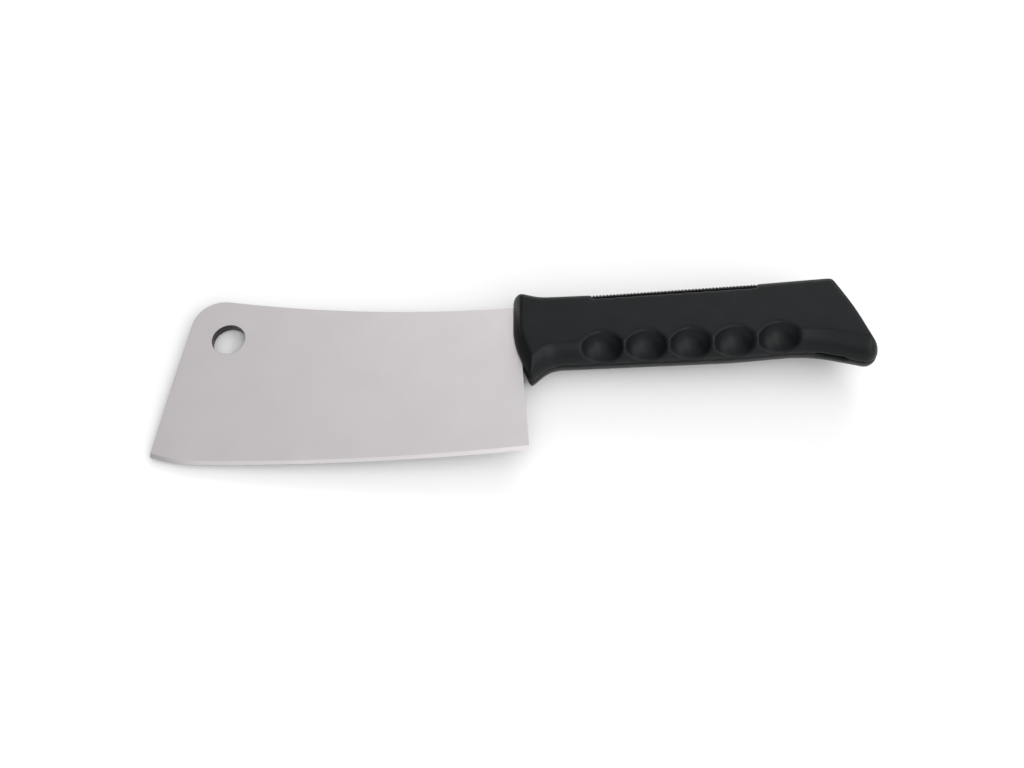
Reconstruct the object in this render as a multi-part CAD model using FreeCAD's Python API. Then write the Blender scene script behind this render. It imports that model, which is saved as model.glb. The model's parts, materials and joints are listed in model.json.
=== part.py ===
import FreeCAD, Part
import math
import os

# Meat cleaver: a stainless blade whose tang runs back between two moulded handle shells.
# Everything is drawn in the blade's own plane: X runs from the toe to the pommel with 0 at the heel,
# Y runs from the cutting edge to the spine with 0 on the handle's middle line, and Z is the thickness.
# The last step lays the finished cleaver on its side, as it rests on a table.

V = FreeCAD.Vector
UP = V(0, 0, 1)

# ---- blade (mm) ----
BLADE_LENGTH = 160.0        # toe to heel, along the cutting edge
BLADE_THICKNESS = 4.0
EDGE_DEPTH = 60.0           # from the handle's middle line down to the lowest point of the edge
EDGE_RADIUS = 1250.0        # long sweep of the cutting edge
EDGE_LOW_FROM_HEEL = 102.0
TOE_RADIUS = 75.0           # tighter sweep just behind the toe
TOE_SWEEP = 22.0            # length of that tighter sweep
FRONT_RAKE = 8.8            # degrees that the front edge leans back from square
HEEL_RAKE = 4.4             # degrees that the heel line leans forward
SPINE_HEIGHT = 12.1         # spine's lowest point above the middle line
SPINE_RADIUS = 600.0        # hollow sweep of the spine
SPINE_LOW_FROM_HEEL = 36.0
NOSE_RADIUS = 13.5          # upper front corner
GRIND_DEPTH = 27.0          # the faces are ground thinner from here down to the edge
GRIND_ANGLE = 2.3           # degrees per side
BEVEL_ANGLE = 27.0          # degrees per side of the sharpened bevel
HANG_HOLE_RADIUS = 7.4
HANG_HOLE_FROM_TOE = 27.4
HANG_HOLE_HEIGHT = 0.7      # above the middle line

# ---- tang (mm) ----
TANG_THICKNESS = 3.2
TANG_LENGTH = 118.0         # behind the heel
TANG_ROOT = (-8.0, 9.0)     # lower and upper side at the blade
TANG_TIP = (-4.0, 9.5)      # lower and upper side at the rear end
TANG_ROUND = 4.0
PIN_RADIUS = 3.0
PIN_HALF_LENGTH = 7.0
PIN_PLACES = [22.0, 60.0, 98.0]
WINDOW_LENGTH = 22.0        # lightening windows midway between the pins
WINDOW_HALF_HEIGHT = 3.5

# ---- handle (mm) ----
HALF_THICKNESS = 11.0       # middle plane to flat side face
CROWN_RADIUS = 16.5         # round of the back, from side face to side face
CROWN_LEVELS = 7            # heights that carry the crowned outline
BELLY_CROWN = 5.3           # how far each flank leans in from the middle plane to the side face
BEAK_CROWN = 6.3
END_CROWN = 3.3
FRONT_CROWN = 4.2
SHARPEST_ROUND = 0.4        # smallest corner left in the outline
LONGEST_REACH = 0.45        # a corner's round takes at most this share of its shorter run
COLLAR_FRONT = -7.4         # the collar laps this far over the blade
COLLAR_TOP = 19.6
COLLAR_TOP_ROUND = 4.0
COLLAR_SWEEP_START = -5.6   # the front starts to sweep back below this height
COLLAR_SWEEP_ROUND = 40.0
GUARD_TIP = (0.3, -25.0)
GUARD_TIP_ROUND = 1.2
GUARD_ROOT = (9.5, -16.5)   # where the belly turns down into the guard
GUARD_HOLLOW = 12.0
BELLY_MIDDLE = (85.0, -15.0)
BELLY_SWEEP = 200.0
BELLY_REAR = (118.0, -12.7)
BELLY_REAR_SWEEP = 60.0
BEAK = (149.8, -20.9)
BEAK_ROUND = 5.0
END_MIDDLE = (139.9, 5.0)
END_SWEEP = 120.0
REAR_TOP = (131.1, 21.5)
REAR_TOP_ROUND = 5.0
BACK_REAR = (98.5, 19.4)
BACK_MIDDLE = (26.5, 16.2)
BACK_SWEEP = 200.0
BACK_FRONT = (5.0, 15.9)
BACK_HOLLOW = 20.0

# ---- finger scoops on the upper shell (mm) ----
SCOOPS = 5
SCOOP_FIRST = 31.2
SCOOP_PITCH = 18.6
SCOOP_RADIUS = 9.75
SCOOP_STAND_OFF = 0.2       # the scooping ball's centre stands this far outside the side face

# ---- thumb strip and seam slot (mm) ----
THUMB_FROM_COLLAR = 34.6    # start of the strip, behind the collar's front
THUMB_TEETH = 48
THUMB_PITCH = 1.47
THUMB_TOOTH = 0.6
THUMB_RECESS = 0.1          # teeth stand this much below the smooth back
THUMB_SIDE = 1.0            # height of the strip's side wall below the crown
SLOT_START = 120.8
SLOT_END = 133.8
SLOT_HALF_WIDTH = 0.9
SLOT_DEPTH = 5.0

# ---- clearances (mm) ----
TANG_CLEARANCE = 0.1
PIN_CLEARANCE = 0.03
STRIP_CLEARANCE = 0.05
BEYOND = 40.0               # how far cutting bodies run past the work
NOSE_STEPS = 5              # rounds taken to settle where the front edge meets the spine


def rounded_outline(corners, z):
    """Closed wire at height z: straight runs between (x, y, round) corners, joined by tangent arcs."""
    places = [V(corner[0], corner[1], z) for corner in corners]
    arcs = []
    for i, corner in enumerate(corners):
        here = places[i]
        back = places[i - 1] - here
        ahead = places[(i + 1) % len(places)] - here
        half = back.getAngle(ahead) / 2
        reach = min(corner[2] / math.tan(half), LONGEST_REACH * min(back.Length, ahead.Length))
        radius = reach * math.tan(half)
        back.normalize()
        ahead.normalize()
        centre = here + (back + ahead).normalize() * (radius / math.sin(half))
        middle = centre + (here - centre).normalize() * radius
        arcs.append((here + back * reach, middle, here + ahead * reach))
    edges = []
    for i, (start, middle, end) in enumerate(arcs):
        edges.append(Part.LineSegment(arcs[i - 1][2], start).toShape())
        edges.append(Part.Arc(start, middle, end).toShape())
    return Part.Wire(edges)


def inset(corners, share):
    """The outline with each run moved inward by a share of its own crown, as (x, y, round) corners."""
    moved = []
    for i, (x, y, radius, crown) in enumerate(corners):
        here = V(x, y, 0)
        arriving = (here - V(*corners[i - 1][:2], 0)).normalize()
        leaving = (V(*corners[(i + 1) % len(corners)][:2], 0) - here).normalize()
        turn = arriving.cross(leaving).z
        into = share * corners[i - 1][3]
        out_of = share * crown
        place = here + (leaving * into - arriving * out_of) * (1 / turn)
        bulges = turn > 0
        change = (into + out_of) / 2
        new_radius = max(radius - change, SHARPEST_ROUND) if bulges else radius + change
        moved.append((place.x, place.y, new_radius))
    return moved


def prism(wire, z_low, z_high):
    """Solid between two heights with the given outline."""
    face = Part.Face(wire)
    face.translate(V(0, 0, z_low - face.BoundBox.ZMin))
    return face.extrude(V(0, 0, z_high - z_low))


def slab(z_low, z_high):
    """Everything between two heights, wider than the whole cleaver."""
    wide = 3 * BLADE_LENGTH
    return Part.makeBox(2 * wide, 2 * wide, z_high - z_low, V(-wide, -wide, z_low))


def along(start, end, x):
    """Height at x of the straight run between two places."""
    return start[1] + (end[1] - start[1]) * (x - start[0]) / (end[0] - start[0])


# ---- blade ----
def edge_circles():
    """Centre and radius of the long sweep and the toe sweep, and the place where they meet."""
    long_centre = V(-EDGE_LOW_FROM_HEEL, EDGE_RADIUS - EDGE_DEPTH, 0)
    meeting_x = TOE_SWEEP - BLADE_LENGTH
    turn = math.asin((meeting_x - long_centre.x) / EDGE_RADIUS)
    down = V(math.sin(turn), -math.cos(turn), 0)
    return long_centre, long_centre + down * (EDGE_RADIUS - TOE_RADIUS), long_centre + down * EDGE_RADIUS


LONG_CENTRE, TOE_CENTRE, SWEEPS_MEET = edge_circles()


def on_circle(centre, radius, x, side):
    """Place on a circle at x, on its lower side (-1) or its upper side (1)."""
    return V(x, centre.y + side * math.sqrt(radius ** 2 - (x - centre.x) ** 2), 0)


TOE = on_circle(TOE_CENTRE, TOE_RADIUS, -BLADE_LENGTH, -1)
HEEL = on_circle(LONG_CENTRE, EDGE_RADIUS, 0.0, -1)
SPINE_CENTRE = V(-SPINE_LOW_FROM_HEEL, SPINE_HEIGHT + SPINE_RADIUS, 0)


def front_x(y):
    """The front edge's place at a height."""
    return TOE.x + (y - TOE.y) * math.tan(math.radians(FRONT_RAKE))


def heel_x(y):
    return HEEL.x - (y - HEEL.y) * math.tan(math.radians(HEEL_RAKE))


def blade_plate():
    """Blade outline at full thickness, with the nose rounded and the hang hole bored."""
    half = BLADE_THICKNESS / 2
    toe_mid = on_circle(TOE_CENTRE, TOE_RADIUS, (TOE.x + SWEEPS_MEET.x) / 2, -1)
    long_mid = on_circle(LONG_CENTRE, EDGE_RADIUS, (HEEL.x + SWEEPS_MEET.x) / 2, -1)
    nose = TOE
    for _ in range(NOSE_STEPS):
        nose = on_circle(SPINE_CENTRE, SPINE_RADIUS, front_x(nose.y), -1)
    spine_end = on_circle(SPINE_CENTRE, SPINE_RADIUS, heel_x(SPINE_HEIGHT), -1)
    spine_mid = on_circle(SPINE_CENTRE, SPINE_RADIUS, (nose.x + spine_end.x) / 2, -1)
    outline = Part.Wire([
        Part.Arc(TOE, toe_mid, SWEEPS_MEET).toShape(),
        Part.Arc(SWEEPS_MEET, long_mid, HEEL).toShape(),
        Part.LineSegment(HEEL, spine_end).toShape(),
        Part.Arc(spine_end, spine_mid, nose).toShape(),
        Part.LineSegment(nose, TOE).toShape(),
    ])
    plate = prism(outline, -half, half)
    corner = [e for e in plate.Edges if (e.CenterOfMass - nose).Length < half / 2]
    plate = plate.makeFillet(NOSE_RADIUS, corner)
    bore = Part.makeCylinder(HANG_HOLE_RADIUS, 2 * BEYOND, hang_hole_centre() - UP * BEYOND)
    return plate.cut(bore)


def hang_hole_centre():
    return V(HANG_HOLE_FROM_TOE - BLADE_LENGTH, HANG_HOLE_HEIGHT, 0)


def grind_body(side):
    """Wedge taken off one face below the grind line. Its far corner lies well past the edge."""
    half = BLADE_THICKNESS / 2
    drop = BEYOND * math.tan(math.radians(GRIND_ANGLE))
    top = V(-BLADE_LENGTH - BEYOND, -GRIND_DEPTH, side * half)
    wedge = Part.makePolygon([
        top,
        top + V(0, -BEYOND, -side * drop),
        top + V(0, -BEYOND, side * half),
        top,
    ])
    return Part.Face(wedge).extrude(V(BLADE_LENGTH + 2 * BEYOND, 0, 0))


def bevel_body(centre, radius, start_x, end_x):
    """Ring of metal ground off both faces along one sweep of the edge: a section turned about its centre."""
    slope = math.tan(math.radians(BEVEL_ANGLE))
    rise = BLADE_THICKNESS
    cut = None
    turn_low = math.asin((start_x - centre.x) / radius)
    turn_high = math.asin((end_x - centre.x) / radius)
    low = centre + V(math.sin(turn_low), -math.cos(turn_low), 0) * radius
    outward = (low - centre).normalize()
    for side in (-1, 1):
        section = Part.makePolygon([
            low,
            low + outward * rise,
            low + outward * rise + UP * (side * rise),
            low - outward * (rise / slope) + UP * (side * rise),
            low,
        ])
        ring = Part.Face(section).revolve(centre, UP, math.degrees(turn_high - turn_low))
        cut = ring if cut is None else cut.fuse(ring)
    return cut


def tang_outline(clearance):
    """Tang seen from the side, grown by a clearance. Its front end is buried in the blade."""
    front = heel_x(0.0) - BLADE_THICKNESS
    tip = TANG_LENGTH + clearance
    return rounded_outline([
        (front, TANG_ROOT[0] - clearance, SHARPEST_ROUND),
        (tip, TANG_TIP[0] - clearance, TANG_ROUND),
        (tip, TANG_TIP[1] + clearance, TANG_ROUND),
        (front, TANG_ROOT[1] + clearance, SHARPEST_ROUND),
    ], 0.0)


def tang_middle(x):
    """Height of the tang's middle line."""
    root = (0.0, sum(TANG_ROOT) / 2)
    tip = (TANG_LENGTH, sum(TANG_TIP) / 2)
    return along(root, tip, x)


def blade():
    plate = blade_plate()
    for side in (-1, 1):
        plate = plate.cut(grind_body(side))
    past_toe = TOE.x - BLADE_THICKNESS
    past_heel = HEEL.x + BLADE_THICKNESS
    plate = plate.cut(bevel_body(TOE_CENTRE, TOE_RADIUS, past_toe, SWEEPS_MEET.x))
    plate = plate.cut(bevel_body(LONG_CENTRE, EDGE_RADIUS, SWEEPS_MEET.x, past_heel))
    tang = prism(tang_outline(0.0), -TANG_THICKNESS / 2, TANG_THICKNESS / 2)
    for x in PIN_PLACES:
        tang = tang.cut(pin(x, PIN_CLEARANCE))
    for before, after in zip(PIN_PLACES, PIN_PLACES[1:]):
        tang = tang.cut(window((before + after) / 2))
    return plate.fuse(tang).removeSplitter()


def window(x):
    """Lightening window through the tang."""
    y = tang_middle(x)
    half = WINDOW_LENGTH / 2
    outline = rounded_outline([
        (x - half, y - WINDOW_HALF_HEIGHT, WINDOW_HALF_HEIGHT),
        (x + half, y - WINDOW_HALF_HEIGHT, WINDOW_HALF_HEIGHT),
        (x + half, y + WINDOW_HALF_HEIGHT, WINDOW_HALF_HEIGHT),
        (x - half, y + WINDOW_HALF_HEIGHT, WINDOW_HALF_HEIGHT),
    ], 0.0)
    return prism(outline, -BLADE_THICKNESS, BLADE_THICKNESS)


def pin(x, clearance):
    """Cross pin through the tang, grown by a clearance."""
    reach = PIN_HALF_LENGTH + clearance
    return Part.makeCylinder(PIN_RADIUS + clearance, 2 * reach, V(x, tang_middle(x), -reach))


# ---- handle ----
def crown_inset(z):
    """How far a full crown stands in from the middle outline at height z."""
    return CROWN_RADIUS - math.sqrt(CROWN_RADIUS ** 2 - z ** 2)


BACK_CROWN = crown_inset(HALF_THICKNESS)

# Each corner of the middle outline: x, y, round, and the crown of the run that follows it.
HANDLE_OUTLINE = [
    (*GUARD_TIP, GUARD_TIP_ROUND, BELLY_CROWN),
    (*GUARD_ROOT, GUARD_HOLLOW, BELLY_CROWN),
    (*BELLY_MIDDLE, BELLY_SWEEP, BELLY_CROWN),
    (*BELLY_REAR, BELLY_REAR_SWEEP, BEAK_CROWN),
    (*BEAK, BEAK_ROUND, END_CROWN),
    (*END_MIDDLE, END_SWEEP, END_CROWN),
    (*REAR_TOP, REAR_TOP_ROUND, BACK_CROWN),
    (*BACK_REAR, BACK_SWEEP, BACK_CROWN),
    (*BACK_MIDDLE, BACK_SWEEP, BACK_CROWN),
    (*BACK_FRONT, BACK_HOLLOW, BACK_CROWN),
    (COLLAR_FRONT, COLLAR_TOP, COLLAR_TOP_ROUND, FRONT_CROWN),
    (COLLAR_FRONT, COLLAR_SWEEP_START, COLLAR_SWEEP_ROUND, FRONT_CROWN),
]


def belly_y(x):
    """The belly's straight runs, ahead of and behind their middle corner."""
    if x < BELLY_MIDDLE[0]:
        return along(GUARD_ROOT, BELLY_MIDDLE, x)
    return along(BELLY_MIDDLE, BELLY_REAR, x)


def handle_body():
    """Whole handle before it is split: the outline carried up and down with crowned flanks."""
    widest = math.asin(HALF_THICKNESS / CROWN_RADIUS)
    levels = []
    for step in range(CROWN_LEVELS):
        z = CROWN_RADIUS * math.sin(widest * (2 * step / (CROWN_LEVELS - 1) - 1))
        levels.append(rounded_outline(inset(HANDLE_OUTLINE, crown_inset(z) / BACK_CROWN), z))
    return Part.makeLoft(levels, True, False)


# A ball turned so that its poles and its seam line both lie outside the handle.
SEAM_OUTSIDE = FreeCAD.Rotation(V(0, -1, 1), V(0, 0, 0), V(1, 0, 0), "ZXY")


def scoop_balls():
    """Balls that hollow the finger scoops along the upper shell's belly."""
    balls = []
    for i in range(SCOOPS):
        x = SCOOP_FIRST + i * SCOOP_PITCH
        ball = Part.makeSphere(SCOOP_RADIUS)
        place = V(x, belly_y(x), HALF_THICKNESS + SCOOP_STAND_OFF)
        ball.Placement = FreeCAD.Placement(place, SEAM_OUTSIDE)
        balls.append(ball)
    return balls


# ---- thumb strip ----
BACK_DIRECTION = (V(*BACK_REAR, 0) - V(*BACK_MIDDLE, 0)).normalize()
BACK_NORMAL = UP.cross(BACK_DIRECTION)
THUMB_LENGTH = THUMB_TEETH * THUMB_PITCH
THUMB_START = COLLAR_FRONT + THUMB_FROM_COLLAR
THUMB_CORNER = V(THUMB_START, along(BACK_MIDDLE, BACK_REAR, THUMB_START), 0)


def thumb_seat(clearance):
    """Block that the toothed strip fills: the back above a floor just under the crown's shoulder."""
    depth = BACK_CROWN + THUMB_SIDE + clearance
    low = THUMB_CORNER - BACK_NORMAL * depth - BACK_DIRECTION * clearance
    far = low + BACK_DIRECTION * (THUMB_LENGTH + 2 * clearance)
    rise = BACK_NORMAL * (depth + BEYOND)
    outline = Part.makePolygon([low, far, far + rise, low + rise, low])
    return prism(outline, -BEYOND, BEYOND)


def thumb_strip():
    """Ribbed strip: a saw-toothed bar turned about the crown's own centre line."""
    tip = CROWN_RADIUS - THUMB_RECESS
    root = tip - THUMB_TOOTH
    start = THUMB_CORNER - BACK_NORMAL * CROWN_RADIUS
    profile = [start]
    for tooth in range(THUMB_TEETH):
        left = start + BACK_DIRECTION * (tooth * THUMB_PITCH)
        crest = left + BACK_DIRECTION * (THUMB_PITCH / 2)
        profile.append(left + BACK_NORMAL * root)
        profile.append(crest + BACK_NORMAL * tip)
    far = start + BACK_DIRECTION * THUMB_LENGTH
    profile.append(far + BACK_NORMAL * root)
    profile.append(far)
    profile.append(start)
    bar = Part.Face(Part.makePolygon(profile))
    bar.rotate(start, BACK_DIRECTION, -90)
    bar = bar.revolve(start, BACK_DIRECTION, 180)
    return bar.common(thumb_seat(0.0)).common(slab(-HALF_THICKNESS, HALF_THICKNESS))


# ---- shells ----
def seam_slot(body):
    """Narrow slot in the belly near the beak, where the seam between the shells stays open."""
    outline = rounded_outline([
        (SLOT_START, -SLOT_HALF_WIDTH, SLOT_HALF_WIDTH),
        (SLOT_END, -SLOT_HALF_WIDTH, SLOT_HALF_WIDTH),
        (SLOT_END, SLOT_HALF_WIDTH, SLOT_HALF_WIDTH),
        (SLOT_START, SLOT_HALF_WIDTH, SLOT_HALF_WIDTH),
    ], 0.0)
    bar = prism(outline, 0.0, BEYOND)
    bar.rotate(V(0, 0, 0), V(1, 0, 0), 90)
    return bar.cut(body.translated(V(0, SLOT_DEPTH, 0)))


def shell(body, side, hollows):
    """One half of the handle, on one side of the middle plane, with its hollows cut out."""
    half = body.common(slab(*sorted((0.0, side * BEYOND))))
    for hollow in hollows:
        half = half.cut(hollow)
    return half.removeSplitter()


def blade_slot():
    """The slot in the collar that takes the back of the blade."""
    half = BLADE_THICKNESS / 2 + TANG_CLEARANCE
    gap = TANG_CLEARANCE
    top = on_circle(SPINE_CENTRE, SPINE_RADIUS, heel_x(SPINE_HEIGHT), -1).y + gap
    bottom = GUARD_TIP[1] - BEYOND / 2
    outline = Part.makePolygon([
        V(COLLAR_FRONT - BEYOND, top, 0),
        V(COLLAR_FRONT - BEYOND, bottom, 0),
        V(heel_x(bottom) + gap, bottom, 0),
        V(heel_x(top) + gap, top, 0),
        V(COLLAR_FRONT - BEYOND, top, 0),
    ])
    return prism(outline, -half, half)


def ground_face():
    """A place in the middle of the upper ground face, and the way that the face looks."""
    lean = math.radians(GRIND_ANGLE)
    down = (EDGE_DEPTH - GRIND_DEPTH) / 2
    place = V(-BLADE_LENGTH / 2, -GRIND_DEPTH - down, BLADE_THICKNESS / 2 - down * math.tan(lean))
    return place, V(0, -math.sin(lean), math.cos(lean))


# ---- how it lies on a table ----
def rest_placement(solids):
    """Lay the cleaver down: it touches with the blade's front end and the collar's two lower corners."""
    blade_touch = V(front_x(-GRIND_DEPTH), -GRIND_DEPTH, -BLADE_THICKNESS / 2)
    floor_outline = inset(HANDLE_OUTLINE, 1.0)
    guard = V(floor_outline[0][0], floor_outline[0][1], -HALF_THICKNESS)
    collar = V(floor_outline[-2][0], floor_outline[-2][1], -HALF_THICKNESS)
    upright = (collar - blade_touch).cross(guard - blade_touch)
    if upright.z < 0:
        upright = upright * -1
    tilt = FreeCAD.Placement(V(0, 0, 0), FreeCAD.Rotation(upright, UP))
    laid = [placed(s, tilt) for s in solids]
    box = Part.makeCompound(laid).optimalBoundingBox(False, False)
    centre = V(-(box.XMin + box.XMax) / 2, -(box.YMin + box.YMax) / 2, -box.ZMin)
    return FreeCAD.Placement(centre, FreeCAD.Rotation()).multiply(tilt)


def placed(shape, placement):
    moved = shape.copy()
    moved.Placement = placement.multiply(moved.Placement)
    return moved


def main():
    body = handle_body()
    hollows = [
        blade_slot(),
        prism(tang_outline(TANG_CLEARANCE), -TANG_THICKNESS / 2 - TANG_CLEARANCE,
              TANG_THICKNESS / 2 + TANG_CLEARANCE),
        thumb_seat(STRIP_CLEARANCE),
        seam_slot(body),
    ]
    hollows += [pin(x, PIN_CLEARANCE) for x in PIN_PLACES]
    nodes = {
        "blade": blade(),
        "handle_shell_upper": shell(body, 1, scoop_balls() + hollows),
        "handle_shell_lower": shell(body, -1, hollows),
        "tang_pins": Part.makeCompound([pin(x, 0.0) for x in PIN_PLACES]),
        "thumb_strip": thumb_strip(),
    }
    place = rest_placement(nodes.values())
    os.makedirs("parts", exist_ok=True)
    for name, shape in nodes.items():
        placed(shape, place).exportStep(f"parts/{name}.step")
        print(f"{name:20s} solids {len(shape.Solids)} valid {shape.isValid()} volume {shape.Volume:9.1f}")
    flat, normal = ground_face()
    print("hang hole centre", place.multVec(hang_hole_centre()), "axis", place.Rotation.multVec(UP))
    print("ground face place", place.multVec(flat), "normal", place.Rotation.multVec(normal))
    print("tilt", math.degrees(place.Rotation.Angle), "about", place.Rotation.Axis)


main()
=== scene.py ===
# %% [markdown]
# # A meat cleaver with a moulded handle
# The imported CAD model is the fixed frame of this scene. It already holds the true size of every piece, so the
# lesson is about what CAD leaves out: edges that are never quite sharp, a satin grind on steel, the fine
# texture of moulded plastic, and light that lets them show. Everything is in metres, with the cleaver lying
# on a table at height 0.

# %% Load the frame
import bpy
import bmesh
import json
from math import cos, pi, radians, sin, sqrt
from mathutils import Matrix, Vector


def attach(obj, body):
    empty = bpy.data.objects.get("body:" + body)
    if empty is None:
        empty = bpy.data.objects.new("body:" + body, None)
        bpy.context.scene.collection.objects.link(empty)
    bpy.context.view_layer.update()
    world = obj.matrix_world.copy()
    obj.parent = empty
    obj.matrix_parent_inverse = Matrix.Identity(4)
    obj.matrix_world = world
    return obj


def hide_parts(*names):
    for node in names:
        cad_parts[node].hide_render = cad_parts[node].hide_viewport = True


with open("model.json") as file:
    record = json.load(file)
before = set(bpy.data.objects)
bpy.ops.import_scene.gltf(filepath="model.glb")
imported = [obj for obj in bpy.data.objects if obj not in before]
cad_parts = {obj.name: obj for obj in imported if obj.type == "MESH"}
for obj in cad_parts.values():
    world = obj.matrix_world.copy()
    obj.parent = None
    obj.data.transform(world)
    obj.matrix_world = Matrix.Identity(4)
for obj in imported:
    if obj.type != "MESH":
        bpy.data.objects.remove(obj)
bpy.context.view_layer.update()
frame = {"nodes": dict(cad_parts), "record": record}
nodes = frame["nodes"]

# %% [markdown]
# ## The blade's own plane
# The cleaver doesn't lie flat: the collar lifts its rear end, so the blade leans by about three degrees.
# Shapes are far easier to think of in the blade's own plane, where X runs along the edge, Y runs from the
# edge to the spine and Z is the thickness. The hanging hole gives the way between the two: its record holds
# the hole's centre and the direction of its axis, which is the blade's own Z.

# %% From the blade's plane to the table
MM = 0.001
HOLE_IN_BLADE = Vector((-132.6, 0.7, 0.0))

hole = next(m for m in frame["record"]["mounts"] if m["name"] == "hang_hole")
lean = Vector((0, 0, 1)).rotation_difference(Vector(hole["axis"]))
to_table = Matrix.Translation(Vector(hole["pos_m"])) @ lean.to_matrix().to_4x4()
to_table = to_table @ Matrix.Translation(-HOLE_IN_BLADE * MM)
print("the blade leans by", round(lean.angle * 180 / pi, 2), "degrees")

# %% [markdown]
# ## Small helpers for materials
# Artists pick colours as sRGB hex values, but shaders add up light, so they need linear values. One function
# does that step for every colour. Another adds a node, sets its options and its inputs, and links any input
# that is given as another node's output. A third starts an empty material.

# %% Colour and node helpers
def linear(hex_colour):
    """An sRGB hex colour as the linear RGBA that a shader works with."""
    channels = [int(hex_colour[i:i + 2], 16) / 255 for i in (1, 3, 5)]
    rgb = [c / 12.92 if c <= 0.04045 else ((c + 0.055) / 1.055) ** 2.4 for c in channels]
    return (*rgb, 1.0)


def add(tree, kind, inputs=None, **settings):
    """A node of any kind, with its settings, and its inputs set or linked."""
    node = tree.nodes.new(kind)
    for name, value in settings.items():
        setattr(node, name, value)
    for name, value in (inputs or {}).items():
        if isinstance(value, bpy.types.NodeSocket):
            tree.links.new(value, node.inputs[name])
        else:
            node.inputs[name].default_value = value
    return node


def new_material(name):
    """An empty material's node tree, with its output waiting for a surface."""
    material = bpy.data.materials.new(name)
    material.use_nodes = True
    material.node_tree.nodes.clear()
    return material, material.node_tree


print("middle grey #808080 is", round(linear("#808080")[0], 3), "in linear light")

# %% [markdown]
# ## Satin stainless steel
# A cleaver's blade is martensitic stainless steel, ground on a belt and left satin. The grit leaves scratches
# a few hundredths of a millimetre wide that run across the blade, from spine to edge. They are too fine to
# see one by one at this distance, so the eye only gets a soft, wide highlight and a faint unevenness. The
# scratches are drawn ten times coarser than real, about 0.5 mm apart, and shallow. A second, much larger
# noise gives the cloudy patches that belt grinding leaves, a centimetre or two across.

# %% Blade steel: scratches and clouds
SCRATCH_SPACING = 0.5 * MM
SCRATCH_STRETCH = 30
SCRATCH_DEPTH = 0.02 * MM
CLOUD_SIZE = 14 * MM

blade_steel, tree = new_material("satin_stainless_steel")
place = add(tree, "ShaderNodeTexCoord").outputs["Object"]
combed = add(tree, "ShaderNodeMapping", {"Vector": place, "Scale": (1, 1 / SCRATCH_STRETCH, 1)})
scratches = add(tree, "ShaderNodeTexNoise", {
    "Vector": combed.outputs["Vector"], "Scale": 1 / SCRATCH_SPACING, "Detail": 3.0, "Roughness": 0.6})
clouds = add(tree, "ShaderNodeTexNoise", {"Vector": place, "Scale": 1 / CLOUD_SIZE, "Detail": 4.0})
steel_colour = add(tree, "ShaderNodeValToRGB", {"Fac": clouds.outputs["Fac"]})
steel_colour.color_ramp.elements[0].position = 0.3
steel_colour.color_ramp.elements[0].color = linear("#BDB9BA")
steel_colour.color_ramp.elements[1].position = 0.7
steel_colour.color_ramp.elements[1].color = linear("#C0BCBD")
satin = add(tree, "ShaderNodeMapRange", {
    "Value": scratches.outputs["Fac"], "From Min": 0.3, "From Max": 0.7, "To Min": 0.36, "To Max": 0.44})
relief = add(tree, "ShaderNodeBump", {
    "Height": scratches.outputs["Fac"], "Strength": 0.15, "Distance": SCRATCH_DEPTH})
print("scratches", SCRATCH_SPACING / MM, "mm apart, clouds", CLOUD_SIZE / MM, "mm across")

# %% [markdown]
# ### Painted shade on the wall of the hanging hole
# The hole is punched, and the shade down its wall is painted into the colour as dark grey. The shader finds
# that wall by its distance from the hole's axis. A cross product with a direction of length 1 is exactly as
# long as the distance from the line in that direction, so three vector nodes measure it. Past the hole's
# radius the colour blends from the painted shade to ground steel within a tenth of a millimetre.

# %% Blade steel: painted shade on the hole's wall
HOLE_RADIUS = hole["dims"]["r_mm"] * MM
# Painted shade on the hole's wall is full up to the first distance past its radius and gone by the second.
PAINTED_SHADE_ENDS = 0.02 * MM
GROUND_STARTS = 0.10 * MM

from_hole = add(tree, "ShaderNodeVectorMath", {0: place, 1: Vector(hole["pos_m"])}, operation="SUBTRACT")
round_axis = add(tree, "ShaderNodeVectorMath", {
    0: from_hole.outputs["Vector"], 1: Vector(hole["axis"])}, operation="CROSS_PRODUCT")
radius = add(tree, "ShaderNodeVectorMath", {0: round_axis.outputs["Vector"]}, operation="LENGTH")
ground = add(tree, "ShaderNodeMapRange", {
    "Value": radius.outputs["Value"],
    "From Min": HOLE_RADIUS + PAINTED_SHADE_ENDS, "From Max": HOLE_RADIUS + GROUND_STARTS})
# Painted shade: the wall inside the hole's radius gets dark grey #4A4747 in place of the steel's colour.
steel = add(tree, "ShaderNodeMix", {
    0: ground.outputs["Result"], 6: linear("#4A4747"), 7: steel_colour.outputs["Color"]}, data_type="RGBA")
surface = add(tree, "ShaderNodeBsdfPrincipled", {
    "Base Color": steel.outputs[2], "Metallic": 1.0,
    "Roughness": satin.outputs["Result"], "Normal": relief.outputs["Normal"]})
add(tree, "ShaderNodeOutputMaterial", {"Surface": surface.outputs["BSDF"]})
print("dark wall inside a radius of", round(HOLE_RADIUS / MM, 2), "mm")

# %% [markdown]
# ## Turned steel for the hidden pins
# The cross pins are plain turned stainless rod. Nobody sees them in the finished cleaver, but a cut-away
# render would, so they get the fine rings that a lathe leaves, about 0.4 mm apart. The rings only change how
# rough the steel is, which is how turned metal looks from a hand's distance. Blender's wave texture repeats
# every 2 pi / 20 units at scale 1, so that length over the spacing is the scale.

# %% Pin steel
TURNING_RINGS = 0.395 * MM
WAVE_REPEAT = 2 * pi / 20

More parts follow.
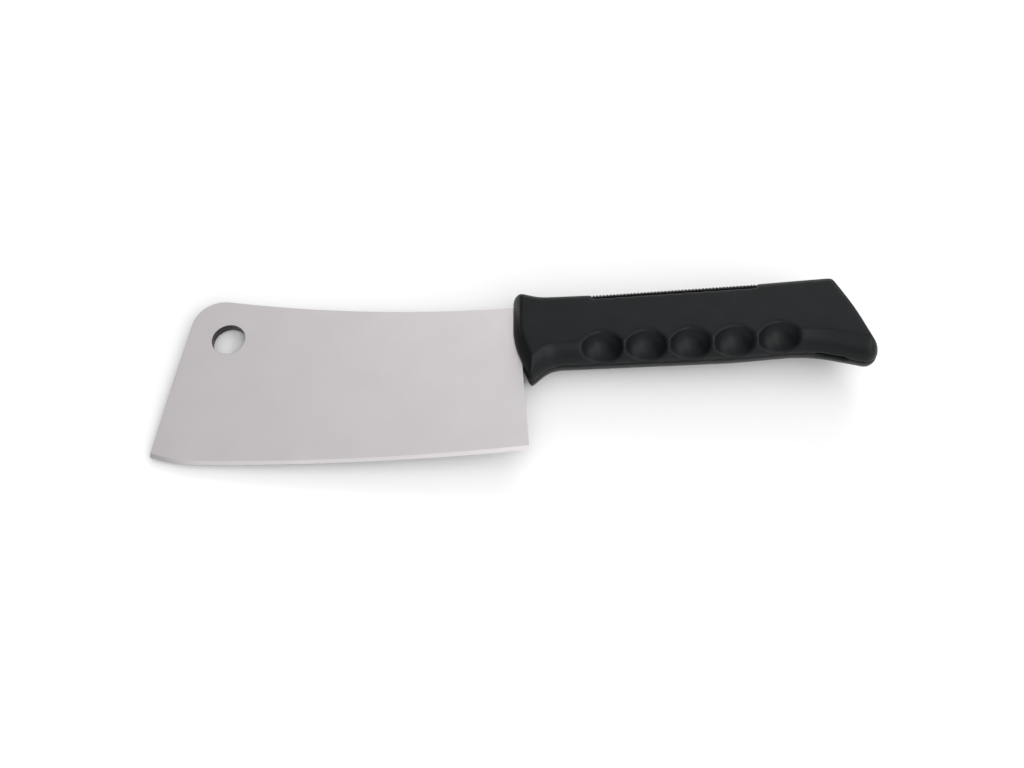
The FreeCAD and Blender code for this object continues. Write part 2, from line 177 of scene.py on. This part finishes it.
pin_steel, tree = new_material("turned_stainless_steel")
place = add(tree, "ShaderNodeTexCoord").outputs["Object"]
lathe_rings = add(tree, "ShaderNodeTexWave", {
    "Vector": place, "Scale": WAVE_REPEAT / TURNING_RINGS}, bands_direction="Z")
turned = add(tree, "ShaderNodeMapRange", {
    "Value": lathe_rings.outputs["Fac"], "To Min": 0.25, "To Max": 0.35})
surface = add(tree, "ShaderNodeBsdfPrincipled", {
    "Base Color": linear("#C8C6C3"), "Metallic": 1.0, "Roughness": turned.outputs["Result"]})
add(tree, "ShaderNodeOutputMaterial", {"Surface": surface.outputs["BSDF"]})
print("turning rings", TURNING_RINGS / MM, "mm apart")

# %% [markdown]
# ## Moulded polypropylene
# The handle is injection moulded, and its steel mould was spark eroded, so the plastic comes out with a fine
# matt texture, like very fine sandpaper, that wipes clean and doesn't slip in a wet hand. Each grain is about
# 0.3 mm across and 0.02 mm high. Polypropylene has an IOR of 1.49. Its black is carbon, so the colour is
# almost a neutral grey and what the eye reads is mostly the sheen. The grains catch part of that sheen
# between them, so the specular level is lower than on smooth plastic. Hands polish the plastic unevenly, in
# patches of about a centimetre.

# %% Handle plastic
GRAIN = 0.3 * MM
GRAIN_HEIGHT = 0.02 * MM
HANDLED_PATCH = 9 * MM

handle_plastic, tree = new_material("moulded_black_polypropylene")
place = add(tree, "ShaderNodeTexCoord").outputs["Object"]
grain = add(tree, "ShaderNodeTexNoise", {"Vector": place, "Scale": 1 / GRAIN, "Detail": 2.0})
handling = add(tree, "ShaderNodeTexNoise", {"Vector": place, "Scale": 1 / HANDLED_PATCH, "Detail": 5.0})
black = add(tree, "ShaderNodeValToRGB", {"Fac": handling.outputs["Fac"]})
black.color_ramp.elements[0].position = 0.35
black.color_ramp.elements[0].color = linear("#0D0F10")
black.color_ramp.elements[1].position = 0.65
black.color_ramp.elements[1].color = linear("#0F1113")
sheen = add(tree, "ShaderNodeMapRange", {
    "Value": handling.outputs["Fac"], "From Min": 0.3, "From Max": 0.7, "To Min": 0.36, "To Max": 0.42})
texture = add(tree, "ShaderNodeBump", {
    "Height": grain.outputs["Fac"], "Strength": 0.25, "Distance": GRAIN_HEIGHT})
surface = add(tree, "ShaderNodeBsdfPrincipled", {
    "Base Color": black.outputs["Color"], "Roughness": sheen.outputs["Result"], "IOR": 1.49,
    "Specular IOR Level": 0.15, "Normal": texture.outputs["Normal"]})
add(tree, "ShaderNodeOutputMaterial", {"Surface": surface.outputs["BSDF"]})
print("plastic grain", GRAIN / MM, "mm across and", GRAIN_HEIGHT / MM, "mm high")

# %% [markdown]
# ## Thermoplastic rubber
# The thumb strip is a softer plastic, so the thumb can press on it without sliding. It scatters light more
# than the hard handle does, because its skin is rougher and fine dust clings to it.

# %% Strip rubber
RUBBER_GRAIN = 0.4 * MM

strip_rubber, tree = new_material("black_thermoplastic_rubber")
place = add(tree, "ShaderNodeTexCoord").outputs["Object"]
grain = add(tree, "ShaderNodeTexNoise", {"Vector": place, "Scale": 1 / RUBBER_GRAIN, "Detail": 3.0})
rubber_black = add(tree, "ShaderNodeValToRGB", {"Fac": grain.outputs["Fac"]})
rubber_black.color_ramp.elements[0].color = linear("#0C0C0D")
rubber_black.color_ramp.elements[1].color = linear("#131314")
texture = add(tree, "ShaderNodeBump", {
    "Height": grain.outputs["Fac"], "Strength": 0.2, "Distance": GRAIN_HEIGHT})
surface = add(tree, "ShaderNodeBsdfPrincipled", {
    "Base Color": rubber_black.outputs["Color"], "Roughness": 0.62, "IOR": 1.5,
    "Specular IOR Level": 0.15, "Normal": texture.outputs["Normal"]})
add(tree, "ShaderNodeOutputMaterial", {"Surface": surface.outputs["BSDF"]})
print("rubber grain", RUBBER_GRAIN / MM, "mm across")

# %% [markdown]
# ## Blade: break the edges
# A ground blade has no mathematically sharp corners: a belt or a tumbler breaks them all by about a fifth of
# a millimetre, and even the cutting edge of a cleaver is a little blunt. That thin rounded line is what
# catches the light round the hanging hole and along the front. The CAD mesh stays as it is and gets three
# modifiers. Weld joins the faces, which arrive one by one from CAD. Bevel rounds every corner steeper than
# 20 degrees. Weighted Normal then keeps the big flat faces evenly lit right up to their rounded edges.

# %% Soften the blade
BROKEN_EDGE = 0.22 * MM
EDGE_STEPS = 2
CORNER_ANGLE = radians(20)
FLAT_WEIGHT = 100
JOIN_WITHIN = 0.001 * MM


def finish_node(name, material):
    """Give a CAD node a material."""
    piece = nodes[name]
    piece.data.materials.clear()
    piece.data.materials.append(material)
    return piece


def join_faces(piece):
    """Join a CAD node's faces where they meet."""
    join = piece.modifiers.new("join_faces", "WELD")
    join.merge_threshold = JOIN_WITHIN


blade = finish_node("blade", blade_steel)
join_faces(blade)
broken = blade.modifiers.new("broken_edges", "BEVEL")
broken.width = BROKEN_EDGE
broken.segments = EDGE_STEPS
broken.limit_method = "ANGLE"
broken.angle_limit = CORNER_ANGLE
even = blade.modifiers.new("flat_faces_stay_flat", "WEIGHTED_NORMAL")
even.weight = FLAT_WEIGHT
finish_node("tang_pins", pin_steel)
print("blade corners rounded by", BROKEN_EDGE / MM, "mm")

# %% [markdown]
# ## Shells: soften the mould's corners
# Molten plastic doesn't fill a perfectly sharp corner, and a moulder rounds the tool anyway so that a hand
# stays comfortable. The CAD shells have crisp creases where the flank meets the side face, at the rims of
# the finger scoops and along the seam. Filling each shell with voxels of less than half a millimetre and
# relaxing the surface rounds all of these at once, including places where several creases meet, where an
# ordinary bevel would tear. The rounded lips of the two shells also make the seam read as a fine groove.

# %% Soften the shells
VOXEL = 0.42 * MM
RELAX_FACTOR = 0.5
RELAX_STEPS = 28

for name in ("handle_shell_upper", "handle_shell_lower"):
    shell = finish_node(name, handle_plastic)
    join_faces(shell)
    fill = shell.modifiers.new("fill_with_voxels", "REMESH")
    fill.mode = "VOXEL"
    fill.voxel_size = VOXEL
    fill.use_smooth_shade = True
    relax = shell.modifiers.new("relax_corners", "SMOOTH")
    relax.factor = RELAX_FACTOR
    relax.iterations = RELAX_STEPS
    print(name, "softened with voxels of", VOXEL / MM, "mm")

# %% [markdown]
# ## Thumb strip: ribs with rounded tops
# The strip is an insert let into the handle's back, with 48 ribs across it. Its top follows the same round as
# the back. The mesh is built as rings: each ring is one slice across the strip, and its radius rises and
# falls along the strip like a wave, which gives ribs with soft tops and narrow valleys. Eight slices to a rib
# are enough for a smooth curve. Sizes and points are in millimetres in the blade's own plane.

# %% Sizes of the thumb strip
BACK_FROM = (26.5, 16.2)
BACK_TO = (98.5, 19.4)
STRIP_STARTS_AT = 27.2
RIBS = 48
RIB_PITCH = 1.47
RIB_HEIGHT = 0.6
TOP_ROUNDNESS = 0.8
BACK_ROUND = 16.5
BELOW_BACK = 0.1
FLOOR_DEPTH = 5.2
HALF_WIDTH = 11.0
SLICES = 8
ACROSS = 24

strip_along = Vector((BACK_TO[0] - BACK_FROM[0], BACK_TO[1] - BACK_FROM[1], 0)).normalized()
strip_up = Vector((0, 0, 1)).cross(strip_along)
strip_start = Vector((*BACK_FROM, 0)) + strip_along * (STRIP_STARTS_AT - BACK_FROM[0]) / strip_along.x
floor_height = BACK_ROUND - FLOOR_DEPTH
print("thumb strip", round(RIBS * RIB_PITCH, 1), "mm long")

# %% Build the thumb strip
def strip_slice(reach):
    """Points round one slice, a given way along the strip: over the top, then back along the floor."""
    wave = (0.5 - 0.5 * cos(2 * pi * reach / RIB_PITCH)) ** TOP_ROUNDNESS
    radius = BACK_ROUND - BELOW_BACK - RIB_HEIGHT * (1 - wave)
    widest = min(HALF_WIDTH, sqrt(radius ** 2 - floor_height ** 2))
    sides = [widest * sin(pi / 2 * (2 * i / ACROSS - 1)) for i in range(ACROSS + 1)]
    section = [(side, sqrt(radius ** 2 - side ** 2)) for side in sides]
    section += [(widest, floor_height), (-widest, floor_height)]
    middle = strip_start + strip_along * reach - strip_up * BACK_ROUND
    return [middle + strip_up * height + Vector((0, 0, side)) for side, height in section]


strip_mesh = bmesh.new()
rings = []
for step in range(RIBS * SLICES + 1):
    points = strip_slice(step * RIB_PITCH / SLICES)
    rings.append([strip_mesh.verts.new(to_table @ (point * MM)) for point in points])
for before, after in zip(rings, rings[1:]):
    for i in range(len(before)):
        strip_mesh.faces.new((before[i - 1], before[i], after[i], after[i - 1]))
strip_mesh.faces.new(list(reversed(rings[0])))
strip_mesh.faces.new(rings[-1])
bmesh.ops.remove_doubles(strip_mesh, verts=strip_mesh.verts, dist=2 * JOIN_WITHIN)
bmesh.ops.recalc_face_normals(strip_mesh, faces=strip_mesh.faces)
print("slices", len(rings), "of", len(rings[0]), "points")

# %% [markdown]
# A finished bmesh becomes a piece in the scene through one small function, which the table uses as well. The
# strip takes the place of its plain CAD node, rides on the cleaver's one body, and is made of the rubber.
# Shading is smooth except over edges steeper than 50 degrees, which stay crisp, as at the strip's two ends.

# %% Put the thumb strip in the scene
SHARP_ANGLE = radians(50)


def new_piece(name, mesh_in_hand, material):
    """An object in the scene from a finished bmesh."""
    mesh = bpy.data.meshes.new(name)
    mesh_in_hand.to_mesh(mesh)
    mesh_in_hand.free()
    mesh.materials.append(material)
    piece = bpy.data.objects.new(name, mesh)
    bpy.context.scene.collection.objects.link(piece)
    return piece


ribbed_strip = new_piece("ribbed_thumb_strip", strip_mesh, strip_rubber)
ribbed_strip.data.shade_smooth()
ribbed_strip.data.set_sharp_from_angle(angle=SHARP_ANGLE)
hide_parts("thumb_strip")
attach(ribbed_strip, "root")
print("thumb strip", len(ribbed_strip.data.polygons), "faces")

# %% [markdown]
# ## Table
# The cleaver lies on a plain pale sheet of matt card, 4 m wide, so that its edges stay outside the camera's
# view. Only a look along the table shows them, far behind. Card has hardly any gloss, and its fibres, about
# 2 mm long, only make that gloss a little uneven.

# %% Pale table
TABLE_SIZE = 4.0
SHEET_CELLS = 8
FIBRE_LENGTH = 2 * MM

pale_card, tree = new_material("matt_card_sheet")
place = add(tree, "ShaderNodeTexCoord").outputs["Object"]
fibres = add(tree, "ShaderNodeTexNoise", {"Vector": place, "Scale": 1 / FIBRE_LENGTH})
matt = add(tree, "ShaderNodeMapRange", {"Value": fibres.outputs["Fac"], "To Min": 0.85, "To Max": 0.95})
surface = add(tree, "ShaderNodeBsdfPrincipled", {
    "Base Color": linear("#DFDFDF"), "Roughness": matt.outputs["Result"], "Specular IOR Level": 0.1})
add(tree, "ShaderNodeOutputMaterial", {"Surface": surface.outputs["BSDF"]})

sheet_mesh = bmesh.new()
bmesh.ops.create_grid(sheet_mesh, x_segments=SHEET_CELLS, y_segments=SHEET_CELLS, size=TABLE_SIZE / 2)
table = new_piece("table_sheet", sheet_mesh, pale_card)
print("table", TABLE_SIZE, "m wide")

# %% [markdown]
# ## Soft light
# Five soft boxes stand round the table, between 1 and 1.5 m away. The tall strip at the right front draws a
# highlight down each finger scoop, and the box on the right lights the scoops' left sides. A low box in front
# gives the handle's flank its sheen. The wide, weak box over the front left is what the ground cutting edge
# mirrors, and the box behind pushes the shadow towards the viewer. Places and sizes are in metres and powers
# in watts.

# %% Soft boxes
def softbox(name, place, size, power, aim=(0, 0, 0)):
    """A rectangular soft light that faces a point."""
    light = bpy.data.lights.new(name, "AREA")
    light.shape = "RECTANGLE"
    light.size, light.size_y = size
    light.energy = power
    lamp = bpy.data.objects.new(name, light)
    lamp.location = place
    lamp.rotation_euler = (Vector(place) - Vector(aim)).to_track_quat("Z", "Y").to_euler()
    bpy.context.scene.collection.objects.link(lamp)


softbox("strip_right_front", (0.40, -0.70, 0.62), (0.26, 1.3), 3.8, (0.08, 0, 0))
softbox("softbox_over_front", (-0.60, -0.40, 0.92), (1.5, 0.25), 1.6)
softbox("softbox_low_front", (0.10, -1.20, 0.55), (1.4, 0.3), 3.0)
softbox("softbox_right", (1.0, -0.30, 0.60), (1.1, 0.9), 6.5)
softbox("softbox_behind", (0.3, 1.25, 0.70), (1.0, 0.4), 9.0)
print("soft boxes", sorted(light.name for light in bpy.data.lights))

# %% [markdown]
# The room round them is white, brightest overhead and dim at floor level. It is also dim on the far left,
# which keeps the right-hand walls of the scoops dark and lets the blade's face fade a little towards its toe.
# Both are read from the direction of the light: its height, and its dot product with the direction of the
# dark corner.

# %% White room
DARK_CORNER = Vector((-0.95, -0.22, 0.20)).normalized()
SHADE_STARTS, SHADE_FULL = 0.3, 0.85
DARKEST = 0.20
OVERHEAD = 0.9
AT_FLOOR, AT_OVERHEAD = 0.40, 1.18

room = bpy.data.worlds.new("white_room")
bpy.context.scene.world = room
room.use_nodes = True
tree = room.node_tree
tree.nodes.clear()
way = add(tree, "ShaderNodeTexCoord").outputs["Generated"]
toward = add(tree, "ShaderNodeVectorMath", {0: way, 1: DARK_CORNER}, operation="DOT_PRODUCT")
shade = add(tree, "ShaderNodeMapRange", {
    "Value": toward.outputs["Value"], "From Min": SHADE_STARTS, "From Max": SHADE_FULL,
    "To Min": 1.0, "To Max": DARKEST}, interpolation_type="SMOOTHSTEP")
height = add(tree, "ShaderNodeSeparateXYZ", {"Vector": way})
walls = add(tree, "ShaderNodeMapRange", {
    "Value": height.outputs["Z"], "From Min": 0.0, "From Max": OVERHEAD,
    "To Min": AT_FLOOR, "To Max": AT_OVERHEAD}, interpolation_type="SMOOTHSTEP")
dimmed = add(tree, "ShaderNodeMath", {
    0: shade.outputs["Result"], 1: walls.outputs["Result"]}, operation="MULTIPLY")
air = add(tree, "ShaderNodeBackground", {"Color": linear("#FFFFFF"), "Strength": dimmed.outputs["Value"]})
add(tree, "ShaderNodeOutputWorld", {"Surface": air.outputs["Background"]})
bpy.context.scene.view_settings.view_transform = "Standard"
print("room is dim towards", [round(v, 2) for v in DARK_CORNER])

# %% [markdown]
# ## Camera
# The camera looks down at 60 degrees with a 45 mm lens on a full-frame sensor, a little over half a metre
# away, which shows the blade's whole face and still some of the handle's belly. It is swung and rolled by
# less than two degrees, because a cleaver put down by hand is never quite square to the camera.

# %% Camera
AIM = Vector((-1.06, 1.11, 0.0)) * MM
DISTANCE = 556.4 * MM
LOOKS_DOWN = 60
SWING = radians(1.80)
ROLL = radians(-1.42)
FOCAL_LENGTH = 45.0
SENSOR_WIDTH = 36.0

tilt = radians(90 - LOOKS_DOWN)
turn = Matrix.Rotation(SWING, 4, "Z") @ Matrix.Rotation(tilt, 4, "X") @ Matrix.Rotation(ROLL, 4, "Z")
camera_data = bpy.data.cameras.new("camera")
camera_data.lens = FOCAL_LENGTH
camera_data.sensor_width = SENSOR_WIDTH
camera = bpy.data.objects.new("camera", camera_data)
camera.matrix_world = Matrix.Translation(AIM) @ turn @ Matrix.Translation((0, 0, DISTANCE))
bpy.context.scene.collection.objects.link(camera)
bpy.context.scene.camera = camera
print("camera at", [round(v, 3) for v in camera.matrix_world.translation])
